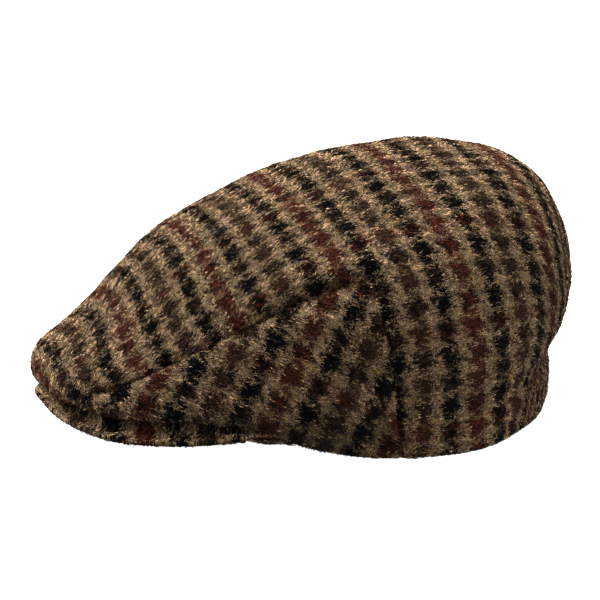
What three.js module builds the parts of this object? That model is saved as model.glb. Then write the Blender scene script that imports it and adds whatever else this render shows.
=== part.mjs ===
// Flat cap: soft crown of three cloth panels over a short stiff peak.
// Millimetres, +Z up. The cap rests on its rim at z = 0, the peak points to -Y and the
// wearer's left is +X; the vertical axis x = y = 0 runs through the head opening.
import * as THREE from 'three';

// ---- driving dimensions ----------------------------------------------------------------
const WALL = 2.4;        // tweed with its facing
const HEM = 3.0;         // turned edge round the head opening
const GAP = 0.8;         // open line of each seam between two panels
const PEAK_GAP = 0.9;    // clear space between the crown's fold and the peak
const CROWN_TOP = 127;   // height of the cloth above the middle of the opening
const PEAK_WALL = 4.0;   // board of the peak with cloth on both faces
const PEAK_RIM = 2.6;    // thickness of the peak at its outer edge
const PEAK_TIP = 1.8;    // thickness at the peak's two ends
const PEAK_TURN = 58;    // degrees from the front at which the peak ends
const SEAM_FRONT = 18;   // degrees from the front at which the side panels begin
const SEAM_REAR = 81;    // degrees from the front of the side panels' upper rear corner

// Cross-sections of the crown. turn is the angle from the front; each other column is
// [distance from the axis, height]. lip is the lowest point of the front fold and the tuck
// above the band behind; edge is the opening. A level counts the columns: 0 is the top of the
// crown, 1 is the crown column, 7 the edge.
const SECTIONS = [
  { turn: 0, crown: [50, 110], shoulder: [88, 90], flank: [124, 65], bulge: [152, 36],
    lip: [148, 25], band: [126, 28], edge: [103, 30] },
  { turn: 14, crown: [50, 110], shoulder: [88, 90], flank: [122, 64], bulge: [149, 34],
    lip: [145, 22], band: [124, 25], edge: [102, 28] },
  { turn: 26, crown: [50, 110], shoulder: [87, 91], flank: [115, 66], bulge: [136, 33],
    lip: [131, 20], band: [115, 22], edge: [100, 24] },
  { turn: 38, crown: [50, 111], shoulder: [84, 92], flank: [107, 69], bulge: [120, 38],
    lip: [116, 20], band: [105, 18], edge: [95, 18] },
  { turn: 50, crown: [50, 111.5], shoulder: [81, 95], flank: [98, 74], bulge: [107, 44],
    lip: [103, 18], band: [97, 14], edge: [90, 13] },
  { turn: 62, crown: [50, 113], shoulder: [79, 98], flank: [93, 81], bulge: [100, 50],
    lip: [97, 16], band: [92, 9], edge: [86, 6] },
  { turn: 72, crown: [50, 114.7], shoulder: [79, 100], flank: [91, 84], bulge: [98, 52],
    lip: [95, 17], band: [89, 8], edge: [84, 0] },
  { turn: 95, crown: [50, 118.5], shoulder: [80, 103], flank: [93, 86], bulge: [99, 55],
    lip: [94, 20], band: [90, 9], edge: [86, 0] },
  { turn: 115, crown: [50, 121], shoulder: [82, 106], flank: [98, 84], bulge: [102, 56],
    lip: [96, 22], band: [93, 11], edge: [91, 0] },
  { turn: 140, crown: [50, 126], shoulder: [86, 113], flank: [103, 90], bulge: [108, 62],
    lip: [99, 26], band: [97, 13], edge: [95, 0] },
  { turn: 160, crown: [50, 129], shoulder: [88, 118], flank: [105, 95], bulge: [110, 66],
    lip: [101, 30], band: [100, 15], edge: [98, 0] },
  { turn: 180, crown: [50, 130], shoulder: [89, 120], flank: [107, 97], bulge: [111, 68],
    lip: [102, 31], band: [102, 15], edge: [100, 0] },
];
const COLUMNS = ['crown', 'shoulder', 'flank', 'bulge', 'lip', 'band', 'edge'];
const EDGE = COLUMNS.length;                       // level of the opening's edge
const LEVEL = Object.fromEntries(COLUMNS.map((name, i) => [name, i + 1]));

// The side panels' upper seam: its level at each angle from the front.
const UPPER_SEAM = [
  { turn: 18, level: 4.3 }, { turn: 22, level: 3.98 }, { turn: 26, level: 3.79 },
  { turn: 34, level: 3.5 }, { turn: 44, level: 3.26 }, { turn: 56, level: 3.07 },
  { turn: 66, level: 2.93 }, { turn: 81, level: 2.8 },
];

// The side panels' rear seam: its angle from the front at each level.
const REAR_SEAM = [
  { level: 2.8, turn: 81 }, { level: 3.5, turn: 84 }, { level: 4, turn: 86 },
  { level: 5, turn: 89 }, { level: 7, turn: 91 },
];

// Soft dents (+) and swellings (-), mm deep along the cloth's normal. turn and level give
// the middle, span and width how far each reaches; turns past 180 are the wearer's right.
// A fold that follows the upper seam gives its level from the seam.
const FOLDS = [
  { name: 'hollow over the peak', turn: 0, span: 42, level: 3.5, width: 0.35, depth: 7 },
  { name: 'left crease', turn: 63, span: 15, seam: true, level: 0.02, width: 0.15, depth: 4.5 },
  { name: 'cloth above it', turn: 60, span: 20, seam: true, level: -0.4, width: 0.3, depth: -1.5 },
  { name: 'right crease', turn: 298, span: 14, seam: true, level: 0.02, width: 0.15, depth: 3.8 },
  { name: 'cloth above it', turn: 300, span: 20, seam: true, level: -0.4, width: 0.3, depth: -1.2 },
];

// Outer edge of the peak: [distance from the axis, height] of its upper face.
const PEAK = [
  { turn: 0, edge: [152.5, 21.5] }, { turn: 12, edge: [151.5, 18.7] }, { turn: 22, edge: [146, 14.5] },
  { turn: 34, edge: [131, 13.5] }, { turn: 47, edge: [112, 14.5] }, { turn: 58, edge: [96.5, 11.5] },
];

// ---- curves ----------------------------------------------------------------------------
// Smooth curve through points at rising parameters; x outside the range continues the end.
function smooth(at, values, x) {
  let i = 0;
  while (i < at.length - 2 && x > at[i + 1]) i += 1;
  const slope = (j) => {
    const a = Math.max(j - 1, 0);
    const b = Math.min(j + 1, at.length - 1);
    if (a === j || b === j) return (values[b] - values[a]) / (at[b] - at[a]);
    const left = (values[j] - values[a]) / (at[j] - at[a]);
    const right = (values[b] - values[j]) / (at[b] - at[j]);
    const share = (at[j] - at[a]) / (at[b] - at[a]);
    return left * (1 - share) + right * share;
  };
  const h = at[i + 1] - at[i];
  const f = (x - at[i]) / h;
  return (2 * f ** 3 - 3 * f ** 2 + 1) * values[i] + (f ** 3 - 2 * f ** 2 + f) * h * slope(i)
    + (3 * f ** 2 - 2 * f ** 3) * values[i + 1] + (f ** 3 - f ** 2) * h * slope(i + 1);
}

// One column of the sections at any turn, mirrored from the wearer's left to the right.
function column(name, which, turn) {
  const t = Math.abs(((turn + 180) % 360 + 360) % 360 - 180);
  const rows = [SECTIONS[1], ...SECTIONS, SECTIONS[SECTIONS.length - 2]];
  const at = rows.map((row, i) => {
    if (i === 0) return -row.turn;
    return i === rows.length - 1 ? 360 - row.turn : row.turn;
  });
  return smooth(at, rows.map((row) => row[name][which]), t);
}

const sectionCache = new Map();
function section(turn) {
  const key = Math.round(turn * 1e4);
  if (!sectionCache.has(key)) {
    const far = [-column('crown', 0, turn + 180), column('crown', 1, turn + 180)];
    const knots = [far, [0, CROWN_TOP]];
    COLUMNS.forEach((name) => knots.push(
      [column(name, 0, turn), Math.max(column(name, 1, turn), 0)],
    ));
    const at = [0];
    for (let i = 1; i < knots.length; i += 1) {
      const step = Math.hypot(knots[i][0] - knots[i - 1][0], knots[i][1] - knots[i - 1][1]);
      at.push(at[i - 1] + step ** 0.8);
    }
    sectionCache.set(key, { at, r: knots.map((k) => k[0]), z: knots.map((k) => k[1]) });
  }
  return sectionCache.get(key);
}

// Point of the crown's outer face before the folds, at a turn and a level from 0 to EDGE.
function crownBase(turn, level) {
  const { at, r, z } = section(turn);
  const i = Math.min(Math.floor(level), EDGE - 1);
  const x = at[i + 1] + (level - i) * (at[i + 2] - at[i + 1]);
  const a = THREE.MathUtils.degToRad(turn);
  const out = smooth(at, r, x);
  return new THREE.Vector3(out * Math.sin(a), -out * Math.cos(a), smooth(at, z, x));
}

function crownNormal(turn, level) {
  if (level < 0.02) return new THREE.Vector3(0, 0, 1);
  const e = 0.01;
  const down = crownBase(turn, Math.min(level + e, EDGE)).sub(crownBase(turn, level - e));
  const along = crownBase(turn + 0.5, level).sub(crownBase(turn - 0.5, level));
  return down.cross(along).normalize();
}

// The crown's outer face with its folds.
function crownPoint(turn, level) {
  let dent = 0;
  FOLDS.forEach((fold) => {
    const across = ((turn - fold.turn + 180) % 360 + 360) % 360 - 180;
    const middle = fold.level + (fold.seam ? upperSeam(turn) : 0);
    const reach = (across / fold.span) ** 2 + ((level - middle) / fold.width) ** 2;
    dent += fold.depth * Math.exp(-reach);
  });
  return crownBase(turn, level).addScaledVector(crownNormal(turn, level), -dent);
}

// ---- bodies ----------------------------------------------------------------------------
// Closed body from an outer face, its matching inner face and the faces' triangles.
function shell(outer, inner, faces) {
  const n = outer.length;
  const index = [];
  const edges = new Map();
  faces.forEach(([a, b, c]) => {
    index.push(a, b, c, a + n, c + n, b + n);
    [[a, b], [b, c], [c, a]].forEach(([p, q]) => edges.set(`${p},${q}`, [p, q]));
  });
  edges.forEach(([p, q]) => {
    if (!edges.has(`${q},${p}`)) index.push(q, p, p + n, q, p + n, q + n);
  });
  const geometry = new THREE.BufferGeometry();
  const points = [...outer, ...inner].flatMap((v) => [v.x, v.y, v.z]);
  geometry.setAttribute('position', new THREE.Float32BufferAttribute(points, 3));
  geometry.setIndex(index);
  geometry.computeVertexNormals();
  return geometry;
}

// Cloth along the crown. Each vertex is { turn, level, side, rise }: side and rise move it
// that many mm along the cloth, which opens the seams by the gap.
function cloth(vertices, faces) {
  const outer = [];
  const inner = [];
  vertices.forEach(({ turn, level, side = 0, rise = 0 }) => {
    const base = crownBase(turn, level);
    const perTurn = level > 0 ? crownBase(turn + 0.5, level).distanceTo(base) * 2 : 1;
    const perLevel = crownBase(turn, Math.max(level - 0.02, 0)).distanceTo(base) / 0.02 || 1;
    const t = turn + side / perTurn;
    const u = level - rise / perLevel;
    const point = crownPoint(t, u);
    const normal = crownNormal(t, u);
    const rests = level === EDGE && column('edge', 1, t) < 0.05;
    if (rests) {
      point.z = 0;
      normal.z = 0;
      normal.normalize();
    }
    const hem = THREE.MathUtils.smoothstep(level, EDGE - 0.9, EDGE - 0.3);
    outer.push(point);
    inner.push(point.clone().addScaledVector(normal, -THREE.MathUtils.lerp(WALL, HEM, hem)));
  });
  return shell(outer, inner, faces);
}

const steps = (from, to, count) => Array.from({ length: count + 1 },
  (_, i) => from + ((to - from) * i) / count);
// Rings of vertices, as shares of the way from the top to the seam and from it to the edge.
const ABOVE = [0, 0.1, 0.23, 0.37, 0.51, 0.64, 0.75, 0.85, 0.92, 0.96, 1];
const BELOW = [0, 0.03, 0.065, 0.13, 0.21, 0.3, 0.39, 0.48, 0.56, 0.64, 0.74, 0.83, 0.92, 1];
const lookUp = (rows, from, to, x) => smooth(rows.map((row) => row[from]),
  rows.map((row) => row[to]), x);
const rearSeam = (level) => lookUp(REAR_SEAM, 'level', 'turn', level);
const upperSeam = (turn) => lookUp(UPPER_SEAM, 'turn', 'level',
  THREE.MathUtils.clamp(Math.abs(((turn + 180) % 360 + 360) % 360 - 180), SEAM_FRONT, SEAM_REAR));

// Top panel: over the crown from the front fold to the rim behind. It is cut away over the
// side panels, so only the front and rear columns run below the seam.
function topPanel() {
  const front = steps(-SEAM_FRONT, SEAM_FRONT, 6);
  const left = steps(SEAM_FRONT, SEAM_REAR, 12).slice(1, -1);
  const rear = steps(SEAM_REAR, 360 - SEAM_REAR, 28);
  const turns = [...front, ...left, ...rear, ...left.map((t) => 360 - t).reverse()];
  const isFront = (t) => t <= SEAM_FRONT;
  const isRear = (t) => t >= SEAM_REAR && t <= 360 - SEAM_REAR;
  const inset = (t) => {
    if (t === SEAM_FRONT || t === 360 - SEAM_REAR) return -GAP / 2;
    if (t === -SEAM_FRONT || t === SEAM_REAR) return GAP / 2;
    return 0;
  };
  const vertices = [{ turn: 0, level: 0 }];
  const at = new Map();
  turns.forEach((t, i) => {
    const seam = upperSeam(t);
    const onSeam = inset(t) !== 0 || !(isFront(t) || isRear(t));
    ABOVE.slice(1).forEach((share, k) => {
      const last = share === 1 && onSeam;
      at.set(`${i},${k + 1}`, vertices.length);
      vertices.push({ turn: t, level: share * seam, rise: last ? GAP / 2 : 0,
        side: last ? inset(t) : 0 });
    });
    if (!isFront(t) && !isRear(t)) return;
    BELOW.slice(1).forEach((share, k) => {
      const level = seam + share * (EDGE - seam);
      const stretch = isRear(t) ? (180 - rearSeam(level)) / (180 - SEAM_REAR) : 1;
      at.set(`${i},${ABOVE.length + k}`, vertices.length);
      vertices.push({ turn: isRear(t) ? 180 + (t - 180) * stretch : t, level, side: inset(t) });
    });
  });
  const faces = [];
  turns.forEach((t, i) => {
    const j = (i + 1) % turns.length;
    const both = (isFront(t) && isFront(turns[j])) || (isRear(t) && isRear(turns[j]));
    const rings = both ? ABOVE.length + BELOW.length - 2 : ABOVE.length - 1;
    faces.push([0, at.get(`${i},1`), at.get(`${j},1`)]);
    for (let k = 1; k < rings; k += 1) {
      const [a, b] = [at.get(`${i},${k}`), at.get(`${j},${k}`)];
      const [c, d] = [at.get(`${j},${k + 1}`), at.get(`${i},${k + 1}`)];
      faces.push([a, d, b], [b, d, c]);
    }
  });
  return cloth(vertices, faces);
}

// Side panel: the gusset between the top panel, the front fold and the rim. side is +1 for
// the wearer's left and -1 for the right.
function sidePanel(side) {
  const across = 12;
  const vertices = [];
  BELOW.forEach((share, k) => {
    const cornerLevel = upperSeam(SEAM_REAR) + share * (EDGE - upperSeam(SEAM_REAR));
    steps(SEAM_FRONT, SEAM_REAR, across).forEach((t, i) => {
      const stretch = (rearSeam(cornerLevel) - SEAM_FRONT) / (SEAM_REAR - SEAM_FRONT);
      const turn = SEAM_FRONT + (t - SEAM_FRONT) * stretch;
      const level = upperSeam(t) + share * (EDGE - upperSeam(t));
      let shift = 0;
      if (i === 0) shift = GAP / 2;
      if (i === across) shift = -GAP / 2;
      vertices.push({ turn: side * turn, level, side: side * shift,
        rise: k === 0 ? -GAP / 2 : 0 });
    });
  });
  const faces = [];
  for (let k = 0; k < BELOW.length - 1; k += 1) {
    for (let i = 0; i < across; i += 1) {
      const a = k * (across + 1) + i;
      const [b, c, d] = [a + 1, a + across + 2, a + across + 1];
      if (side > 0) faces.push([a, d, b], [b, d, c]);
      else faces.push([a, b, d], [b, c, d]);
    }
  }
  return cloth(vertices, faces);
}

// Peak: follows the underside of the front fold from the opening to the lip, then runs out
// to its own edge. The upper face is laid first and the lower face is set off from it. Toward
// its two ends the peak narrows and thins.
function peak() {
  const side = steps(SEAM_FRONT, PEAK_TURN, 12).slice(1);
  const turns = [...side.map((t) => -t).reverse(), ...steps(-SEAM_FRONT, SEAM_FRONT, 12), ...side];
  const under = [0, 0.25, 0.5, 0.7, 0.85, 1];
  const outward = [0.35, 0.7, 1];
  const rings = under.length + outward.length;
  const taper = (turn) => THREE.MathUtils.smoothstep(Math.abs(turn), PEAK_TURN - 9, PEAK_TURN);
  const upper = [];
  turns.forEach((turn) => {
    const outermost = THREE.MathUtils.lerp(LEVEL.lip + 0.05, EDGE - 0.8, taper(turn));
    under.forEach((share) => {
      const level = THREE.MathUtils.lerp(EDGE, outermost, share);
      upper.push(crownPoint(turn, level).addScaledVector(crownNormal(turn, level), PEAK_GAP));
    });
    const last = upper[upper.length - 1];
    const reach = (which) => smooth(PEAK.map((row) => row.turn),
      PEAK.map((row) => row.edge[which]), Math.abs(turn));
    const a = THREE.MathUtils.degToRad(turn);
    const rim = new THREE.Vector3(reach(0) * Math.sin(a), -reach(0) * Math.cos(a), reach(1));
    outward.forEach((f) => {
      const point = last.clone().lerp(rim, f);
      point.z += (1 - taper(turn)) * Math.sin(Math.PI * f);
      upper.push(point);
    });
  });
  const faces = [];
  for (let i = 0; i < turns.length - 1; i += 1) {
    for (let k = 0; k < rings - 1; k += 1) {
      const a = i * rings + k;
      const [b, c, d] = [a + 1, a + rings + 1, a + rings];
      faces.push([a, b, d], [b, c, d]);
    }
  }
  const lower = upper.map((v, n) => {
    const [i, k] = [Math.floor(n / rings), n % rings];
    const pick = (p, q) => upper[Math.min(Math.max(p, 0), turns.length - 1) * rings
      + Math.min(Math.max(q, 0), rings - 1)];
    const along = pick(i + 1, k).clone().sub(pick(i - 1, k));
    const out = pick(i, k + 1).clone().sub(pick(i, k - 1));
    const normal = out.cross(along).normalize();
    const thin = THREE.MathUtils.smoothstep(k, under.length - 1, rings - 1);
    const full = THREE.MathUtils.lerp(PEAK_WALL, PEAK_RIM, thin);
    return v.clone().addScaledVector(normal,
      -THREE.MathUtils.lerp(full, PEAK_TIP, taper(turns[i])));
  });
  return shell(upper, lower, faces);
}

// ---- assembly --------------------------------------------------------------------------
function named(name, geometry, colour) {
  const material = new THREE.MeshStandardMaterial({ color: colour, roughness: 0.95, metalness: 0 });
  const mesh = new THREE.Mesh(geometry, material);
  mesh.name = name;
  return mesh;
}

const cap = new THREE.Group();
cap.name = 'flat_cap';
cap.add(named('top_panel', topPanel(), 0x6b573f));
cap.add(named('side_panel_left', sidePanel(1), 0x5c4a36));
cap.add(named('side_panel_right', sidePanel(-1), 0x5c4a36));
cap.add(named('peak', peak(), 0x4a3b2c));

// The origin stands under the middle of the whole cap.
const middle = new THREE.Box3().setFromObject(cap).getCenter(new THREE.Vector3());
cap.children.forEach((mesh) => mesh.geometry.translate(-middle.x, -middle.y, 0));

export default cap;
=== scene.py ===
"""A flat cap of brushed wool tweed: three cloth panels over a short covered peak."""

import math

import bpy
import numpy as np
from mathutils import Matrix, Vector
from mathutils.bvhtree import BVHTree


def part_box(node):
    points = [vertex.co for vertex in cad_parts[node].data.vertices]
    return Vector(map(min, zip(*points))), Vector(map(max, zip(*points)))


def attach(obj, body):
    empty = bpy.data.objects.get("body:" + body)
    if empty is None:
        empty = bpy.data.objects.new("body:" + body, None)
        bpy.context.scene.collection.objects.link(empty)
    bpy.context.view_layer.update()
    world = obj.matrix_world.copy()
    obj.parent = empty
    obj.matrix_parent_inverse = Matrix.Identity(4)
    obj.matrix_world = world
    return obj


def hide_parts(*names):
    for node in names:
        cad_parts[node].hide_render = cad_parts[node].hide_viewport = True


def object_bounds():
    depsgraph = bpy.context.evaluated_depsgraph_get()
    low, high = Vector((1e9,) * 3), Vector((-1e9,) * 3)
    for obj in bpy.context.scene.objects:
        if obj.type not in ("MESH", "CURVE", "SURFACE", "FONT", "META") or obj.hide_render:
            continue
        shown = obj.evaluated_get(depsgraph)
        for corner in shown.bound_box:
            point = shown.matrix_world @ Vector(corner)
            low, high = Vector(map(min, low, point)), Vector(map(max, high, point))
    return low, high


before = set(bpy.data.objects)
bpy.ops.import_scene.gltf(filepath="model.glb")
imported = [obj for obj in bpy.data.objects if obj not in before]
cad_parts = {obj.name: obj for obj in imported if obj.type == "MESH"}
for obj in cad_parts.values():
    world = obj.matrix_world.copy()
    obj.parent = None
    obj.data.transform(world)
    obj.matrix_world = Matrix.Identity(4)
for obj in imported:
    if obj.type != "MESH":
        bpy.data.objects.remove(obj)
cad_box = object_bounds()
MM = 0.001


# ---- view --------------------------------------------------------------------------------
# The cap is seen from its left and a little above, from far off, with its peak to the left.
def bearing(azimuth, elevation):
    """The way out from the cap, in degrees round from its front and above level."""
    a, e = math.radians(azimuth), math.radians(elevation)
    return Vector((math.sin(a) * math.cos(e), -math.cos(a) * math.cos(e), math.sin(e)))


VIEW_AZIMUTH, VIEW_ELEVATION, VIEW_DISTANCE = 73.0, 14.5, 1.70  # degrees, degrees, metres
LENS, SENSOR = 208.2, 36.0  # mm
AIM = (-18.8, 5.2, -13.3)  # mm from the middle of the solid's box to the point looked at
toward = bearing(VIEW_AZIMUTH, VIEW_ELEVATION)
middle = (cad_box[0] + cad_box[1]) / 2
looked_at = middle + Vector(AIM) * MM
bpy.ops.object.camera_add(
    location=looked_at + VIEW_DISTANCE * toward,
    rotation=toward.to_track_quat("Z", "Y").to_euler(),
)
camera = bpy.context.object
camera.data.lens, camera.data.sensor_width = LENS, SENSOR
camera.data.clip_start, camera.data.clip_end = 0.05, 500.0
bpy.context.scene.camera = camera


# ---- stage -------------------------------------------------------------------------------
# A plain white table top under one wide soft light overhead, with two weak fills. The table
# is so wide that its end never shows, and lies a little below the rim's plane.
def linear(hex_colour):
    """The linear colour of an sRGB hex value, with an alpha of 1."""
    channels = [int(hex_colour[i : i + 2], 16) / 255 for i in (1, 3, 5)]
    return [c / 12.92 if c <= 0.04045 else ((c + 0.055) / 1.055) ** 2.4 for c in channels] + [1.0]


TABLE_WIDTH, TABLE_DROP = 400, 0.0002  # metres
WHITE = (1, 1, 1, 1)
bpy.ops.object.select_all(action="DESELECT")
bpy.ops.mesh.primitive_plane_add(size=TABLE_WIDTH, location=(0, 0, -TABLE_DROP))
bpy.ops.object.transform_apply(location=True)
table_top = bpy.context.object
table_top.name = "table_top"
# It doesn't throw light back up, so the cap's underside stays as dark as a room leaves it.
table_top.visible_diffuse = False
painted = bpy.data.materials.new("matt_white_paint")
painted.use_nodes = True
paint = painted.node_tree.nodes["Principled BSDF"].inputs
paint["Base Color"].default_value = linear("#f6f6f6")
paint["Roughness"].default_value = 0.9
# It is lit from below as well, so hardly a shadow shows on it.
paint["Emission Color"].default_value = WHITE
paint["Emission Strength"].default_value = 1.1
table_top.data.materials.append(painted)

LIGHTS = [
    # name, azimuth, elevation, distance in metres, size in metres, watts
    ("overhead", -18, 54, 3.6, 2.4, 231.0),
    ("side_fill", 50, 30, 3.0, 2.0, 8.5),
    ("rear_fill", 148, 20, 3.0, 2.0, 52.0),
]
for name, azimuth, elevation, away, size, watts in LIGHTS:
    back = bearing(azimuth, elevation)
    bpy.ops.object.light_add(
        type="AREA", location=middle + away * back, rotation=back.to_track_quat("Z", "Y").to_euler()
    )
    bpy.context.object.name = name
    bpy.context.object.data.energy = watts
    bpy.context.object.data.size = size
world = bpy.data.worlds.new("white_room")
world.use_nodes = True
world.node_tree.nodes["Background"].inputs["Color"].default_value = WHITE
world.node_tree.nodes["Background"].inputs["Strength"].default_value = 0.066
bpy.context.scene.world = world
bpy.context.scene.view_settings.view_transform = "Standard"

# ---- the crown's shape -------------------------------------------------------------------
# The crown is soft cloth, so its shape is given by sections round the head opening's axis,
# nearly the same ones as the solid part has, and each panel is a finer mesh laid on them.
# Each pair after the turn from the front is (distance from the axis, height), in mm.
SECTIONS = [
    # turn, crown, shoulder, flank, bulge, lip, band, edge
    (0, (50, 110), (88, 90), (124, 65), (152.3, 36.3), (149.4, 25.3), (126, 29), (103, 30)),
    (14, (50, 110), (88, 90), (122.3, 64), (149.7, 34.6), (147, 24.2), (124, 27.5), (102, 28)),
    (26, (50, 110), (87, 91), (115, 66), (136.5, 34), (134, 22.6), (115, 25), (100, 25)),
    (38, (50, 111), (84, 92), (107, 69), (120, 38.3), (119, 22.4), (105, 21), (95, 19)),
    (50, (50, 111.5), (81, 95), (98, 74), (107, 44), (105.5, 20), (97, 15), (90, 13)),
    (62, (50, 113), (79, 98), (93, 81), (100, 50), (97, 16), (92, 9), (86, 6)),
    (72, (50, 114.7), (79, 100), (91, 84), (98, 52), (95, 17), (89, 8), (85, 2.4)),
    (95, (50, 118.5), (80, 103), (93, 86), (99, 55), (94, 20), (91.5, 9), (89, 0)),
    (115, (50, 121), (82, 106), (98, 84), (102, 56), (96.5, 22), (95, 11), (94, 0)),
    (140, (50, 126), (86, 113), (103, 90), (108, 62), (99, 26), (96.5, 13), (93.5, 0)),
    (160, (50, 129), (88, 118), (105, 95), (110, 66), (101, 30), (100, 15), (97, 0)),
    (180, (50, 130), (89, 120), (107, 97), (111, 68), (102, 31), (102, 15), (100, 0)),
]
CROWN_TOP = 127.0  # height on the axis
LIP, EDGE = 5, 7  # levels count the columns: 0 is the top, 7 the edge of the opening
SEAM_FRONT, SEAM_REAR = 18.0, 81.0  # turns between which the side panels lie
UPPER_SEAM = [
    # turn, level
    (18, 4.3), (22, 3.98), (26, 3.79), (34, 3.5), (44, 3.26), (56, 3.07), (66, 2.93), (81, 2.8),
]
REAR_SEAM = [
    # level, turn
    (2.8, 81), (3.5, 84), (4, 86), (5, 89), (7, 91),
]
SPACING_POWER = 0.8  # below 1 it evens out the spacing of a section's points, for a calm curve
TOP_LEVEL = 0.02  # nearer the top than this the cloth faces straight up
TURN_MM, LEVEL_MM = 1.75, 24  # mm of cloth in a degree and in a level, about
CALM_LEVELS = 0.8  # the way up from the opening's edge over which unevenness sets in


def smooth(at, values, x):
    """The smooth curve through values at rising parameters, for each x."""
    x = np.asarray(x, float)
    shape = x.shape + (np.shape(at)[-1],)
    at, values = np.broadcast_to(at, shape), np.broadcast_to(values, shape)
    i = (x[..., None] > at[..., 1:-1]).sum(-1)[..., None]
    gap = np.diff(at)
    rise = np.diff(values) / gap
    share = gap[..., :-1] / (gap[..., :-1] + gap[..., 1:])
    inner = rise[..., :-1] * (1 - share) + rise[..., 1:] * share
    slope = np.concatenate([rise[..., :1], inner, rise[..., -1:]], -1)
    a, h, p0, p1, m0, m1 = (
        np.take_along_axis(table, i + k, -1)[..., 0]
        for table, k in ((at, 0), (gap, 0), (values, 0), (values, 1), (slope, 0), (slope, 1))
    )
    f = (x - a) / h
    return (
        (2 * f**3 - 3 * f**2 + 1) * p0
        + (f**3 - 2 * f**2 + f) * h * m0
        + (3 * f**2 - 2 * f**3) * p1
        + (f**3 - f**2) * h * m1
    )


def from_front(turn):
    """The angle from the front, 0 to 180, on either side."""
    return np.abs((np.asarray(turn, float) + 180) % 360 - 180)


def column(number, which, turn):
    """One column of the sections at each turn: its distance (which is 0) or its height (1)."""
    rows = [SECTIONS[1], *SECTIONS, SECTIONS[-2]]
    at = [-SECTIONS[1][0], *(row[0] for row in SECTIONS), 360 - SECTIONS[-2][0]]
    values = [row[number][which] for row in rows]
    return smooth(np.array(at, float), np.array(values, float), from_front(turn))


def crown_base(turn, level):
    """Points of the crown's outer face before its folds, in mm about the opening's axis."""
    turn, level = np.broadcast_arrays(np.asarray(turn, float), np.asarray(level, float))
    opposite = turn + 180
    out = [-column(1, 0, opposite), np.zeros(turn.shape)]
    up = [column(1, 1, opposite), np.full(turn.shape, CROWN_TOP)]
    for number in range(1, EDGE + 1):
        out.append(column(number, 0, turn))
        up.append(np.maximum(column(number, 1, turn), 0))
    out, up = np.stack(out, -1), np.stack(up, -1)
    steps = np.hypot(np.diff(out), np.diff(up)) ** SPACING_POWER
    at = np.concatenate([np.zeros(turn.shape + (1,)), np.cumsum(steps, -1)], -1)
    i = np.clip(np.floor(level).astype(int), 0, EDGE - 1)
    low, high = (np.take_along_axis(at, (i + k)[..., None], -1)[..., 0] for k in (1, 2))
    x = low + (level - i) * (high - low)
    r, a = smooth(at, out, x), np.radians(turn)
    return np.stack([r * np.sin(a), -r * np.cos(a), smooth(at, up, x)], -1)


def unit(ways):
    """The same ways, a length of 1 each."""
    return ways / np.maximum(np.linalg.norm(ways, axis=-1, keepdims=True), 1e-12)


def crown_normal(turn, level):
    """The way out of the crown there, before its folds."""
    turn, level = np.broadcast_arrays(np.asarray(turn, float), np.asarray(level, float))
    inner, step = np.maximum(level, TOP_LEVEL), TOP_LEVEL / 2
    down = crown_base(turn, np.minimum(inner + step, EDGE)) - crown_base(turn, inner - step)
    round_it = crown_base(turn + 0.5, inner) - crown_base(turn - 0.5, inner)
    normal = unit(np.cross(down, round_it))
    normal[level < TOP_LEVEL] = (0, 0, 1)
    return normal


def upper_seam(turn):
    """The level of the upper seam there."""
    rows = np.array(UPPER_SEAM, float)
    return smooth(rows[:, 0], rows[:, 1], np.clip(from_front(turn), SEAM_FRONT, SEAM_REAR))


def rear_seam(level):
    """The turn of the rear seam there."""
    rows = np.array(REAR_SEAM, float)
    return smooth(rows[:, 0], rows[:, 1], level)


# Soft dents (+) and swellings (-), mm deep. span and width are how far each reaches, in
# degrees and levels; a fold beside the upper seam gives its level from the seam.
FOLDS = [
    # turn, span, follows seam, level, width, depth
    (0, 39, False, 3.2, 0.74, 6.1),
    (0, 42, False, 2.3, 0.7, -1.5),
    (0, 50, False, 0.9, 0.45, 1.1),
    (180, 50, False, 0.6, 0.4, 1.2),
    (63, 15, True, 0.02, 0.15, 4.5),
    (60, 20, True, -0.4, 0.3, -1.5),
    (298, 14, True, 0.02, 0.15, 3.8),
    (300, 20, True, -0.4, 0.3, -1.2),
]
# Narrow creases (+) and ridges (-) in the cloth, sized in mm.
CREASES = [
    # from turn and level, to turn and level, half width, depth
    (86, 2.75, 72, 2.9, 4.0, 1.2),
    (152, 4.75, 118, 5.35, 6.0, 2.2),
    (208, 4.75, 242, 5.35, 6.0, 2.0),
    (150, 5.3, 128, 5.9, 6.0, -1.0),
    (172, 5.05, 150, 4.85, 5.0, 1.4),
    (188, 5.05, 210, 4.85, 5.0, 1.4),
    (137, 4.3, 128, 5.0, 5.0, 0.8),
    (223, 4.3, 232, 5.0, 5.0, 0.8),
]
# Slow unevenness of the cloth, as waves sized in mm.
WAVES = [
    # direction, length, height, start
    ((0.8, 0.5, 0.3), 61, 0.3, 0.4),
    ((-0.4, 0.9, 0.2), 47, 0.35, 2.1),
    ((0.5, -0.3, 0.8), 37, 0.35, 4.4),
    ((0.2, 0.8, -0.6), 29, 0.3, 1.3),
    ((-0.7, 0.2, 0.7), 23, 0.2, 5.2),
    ((0.3, 0.6, 0.7), 17, 0.12, 3.0),
]


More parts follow.
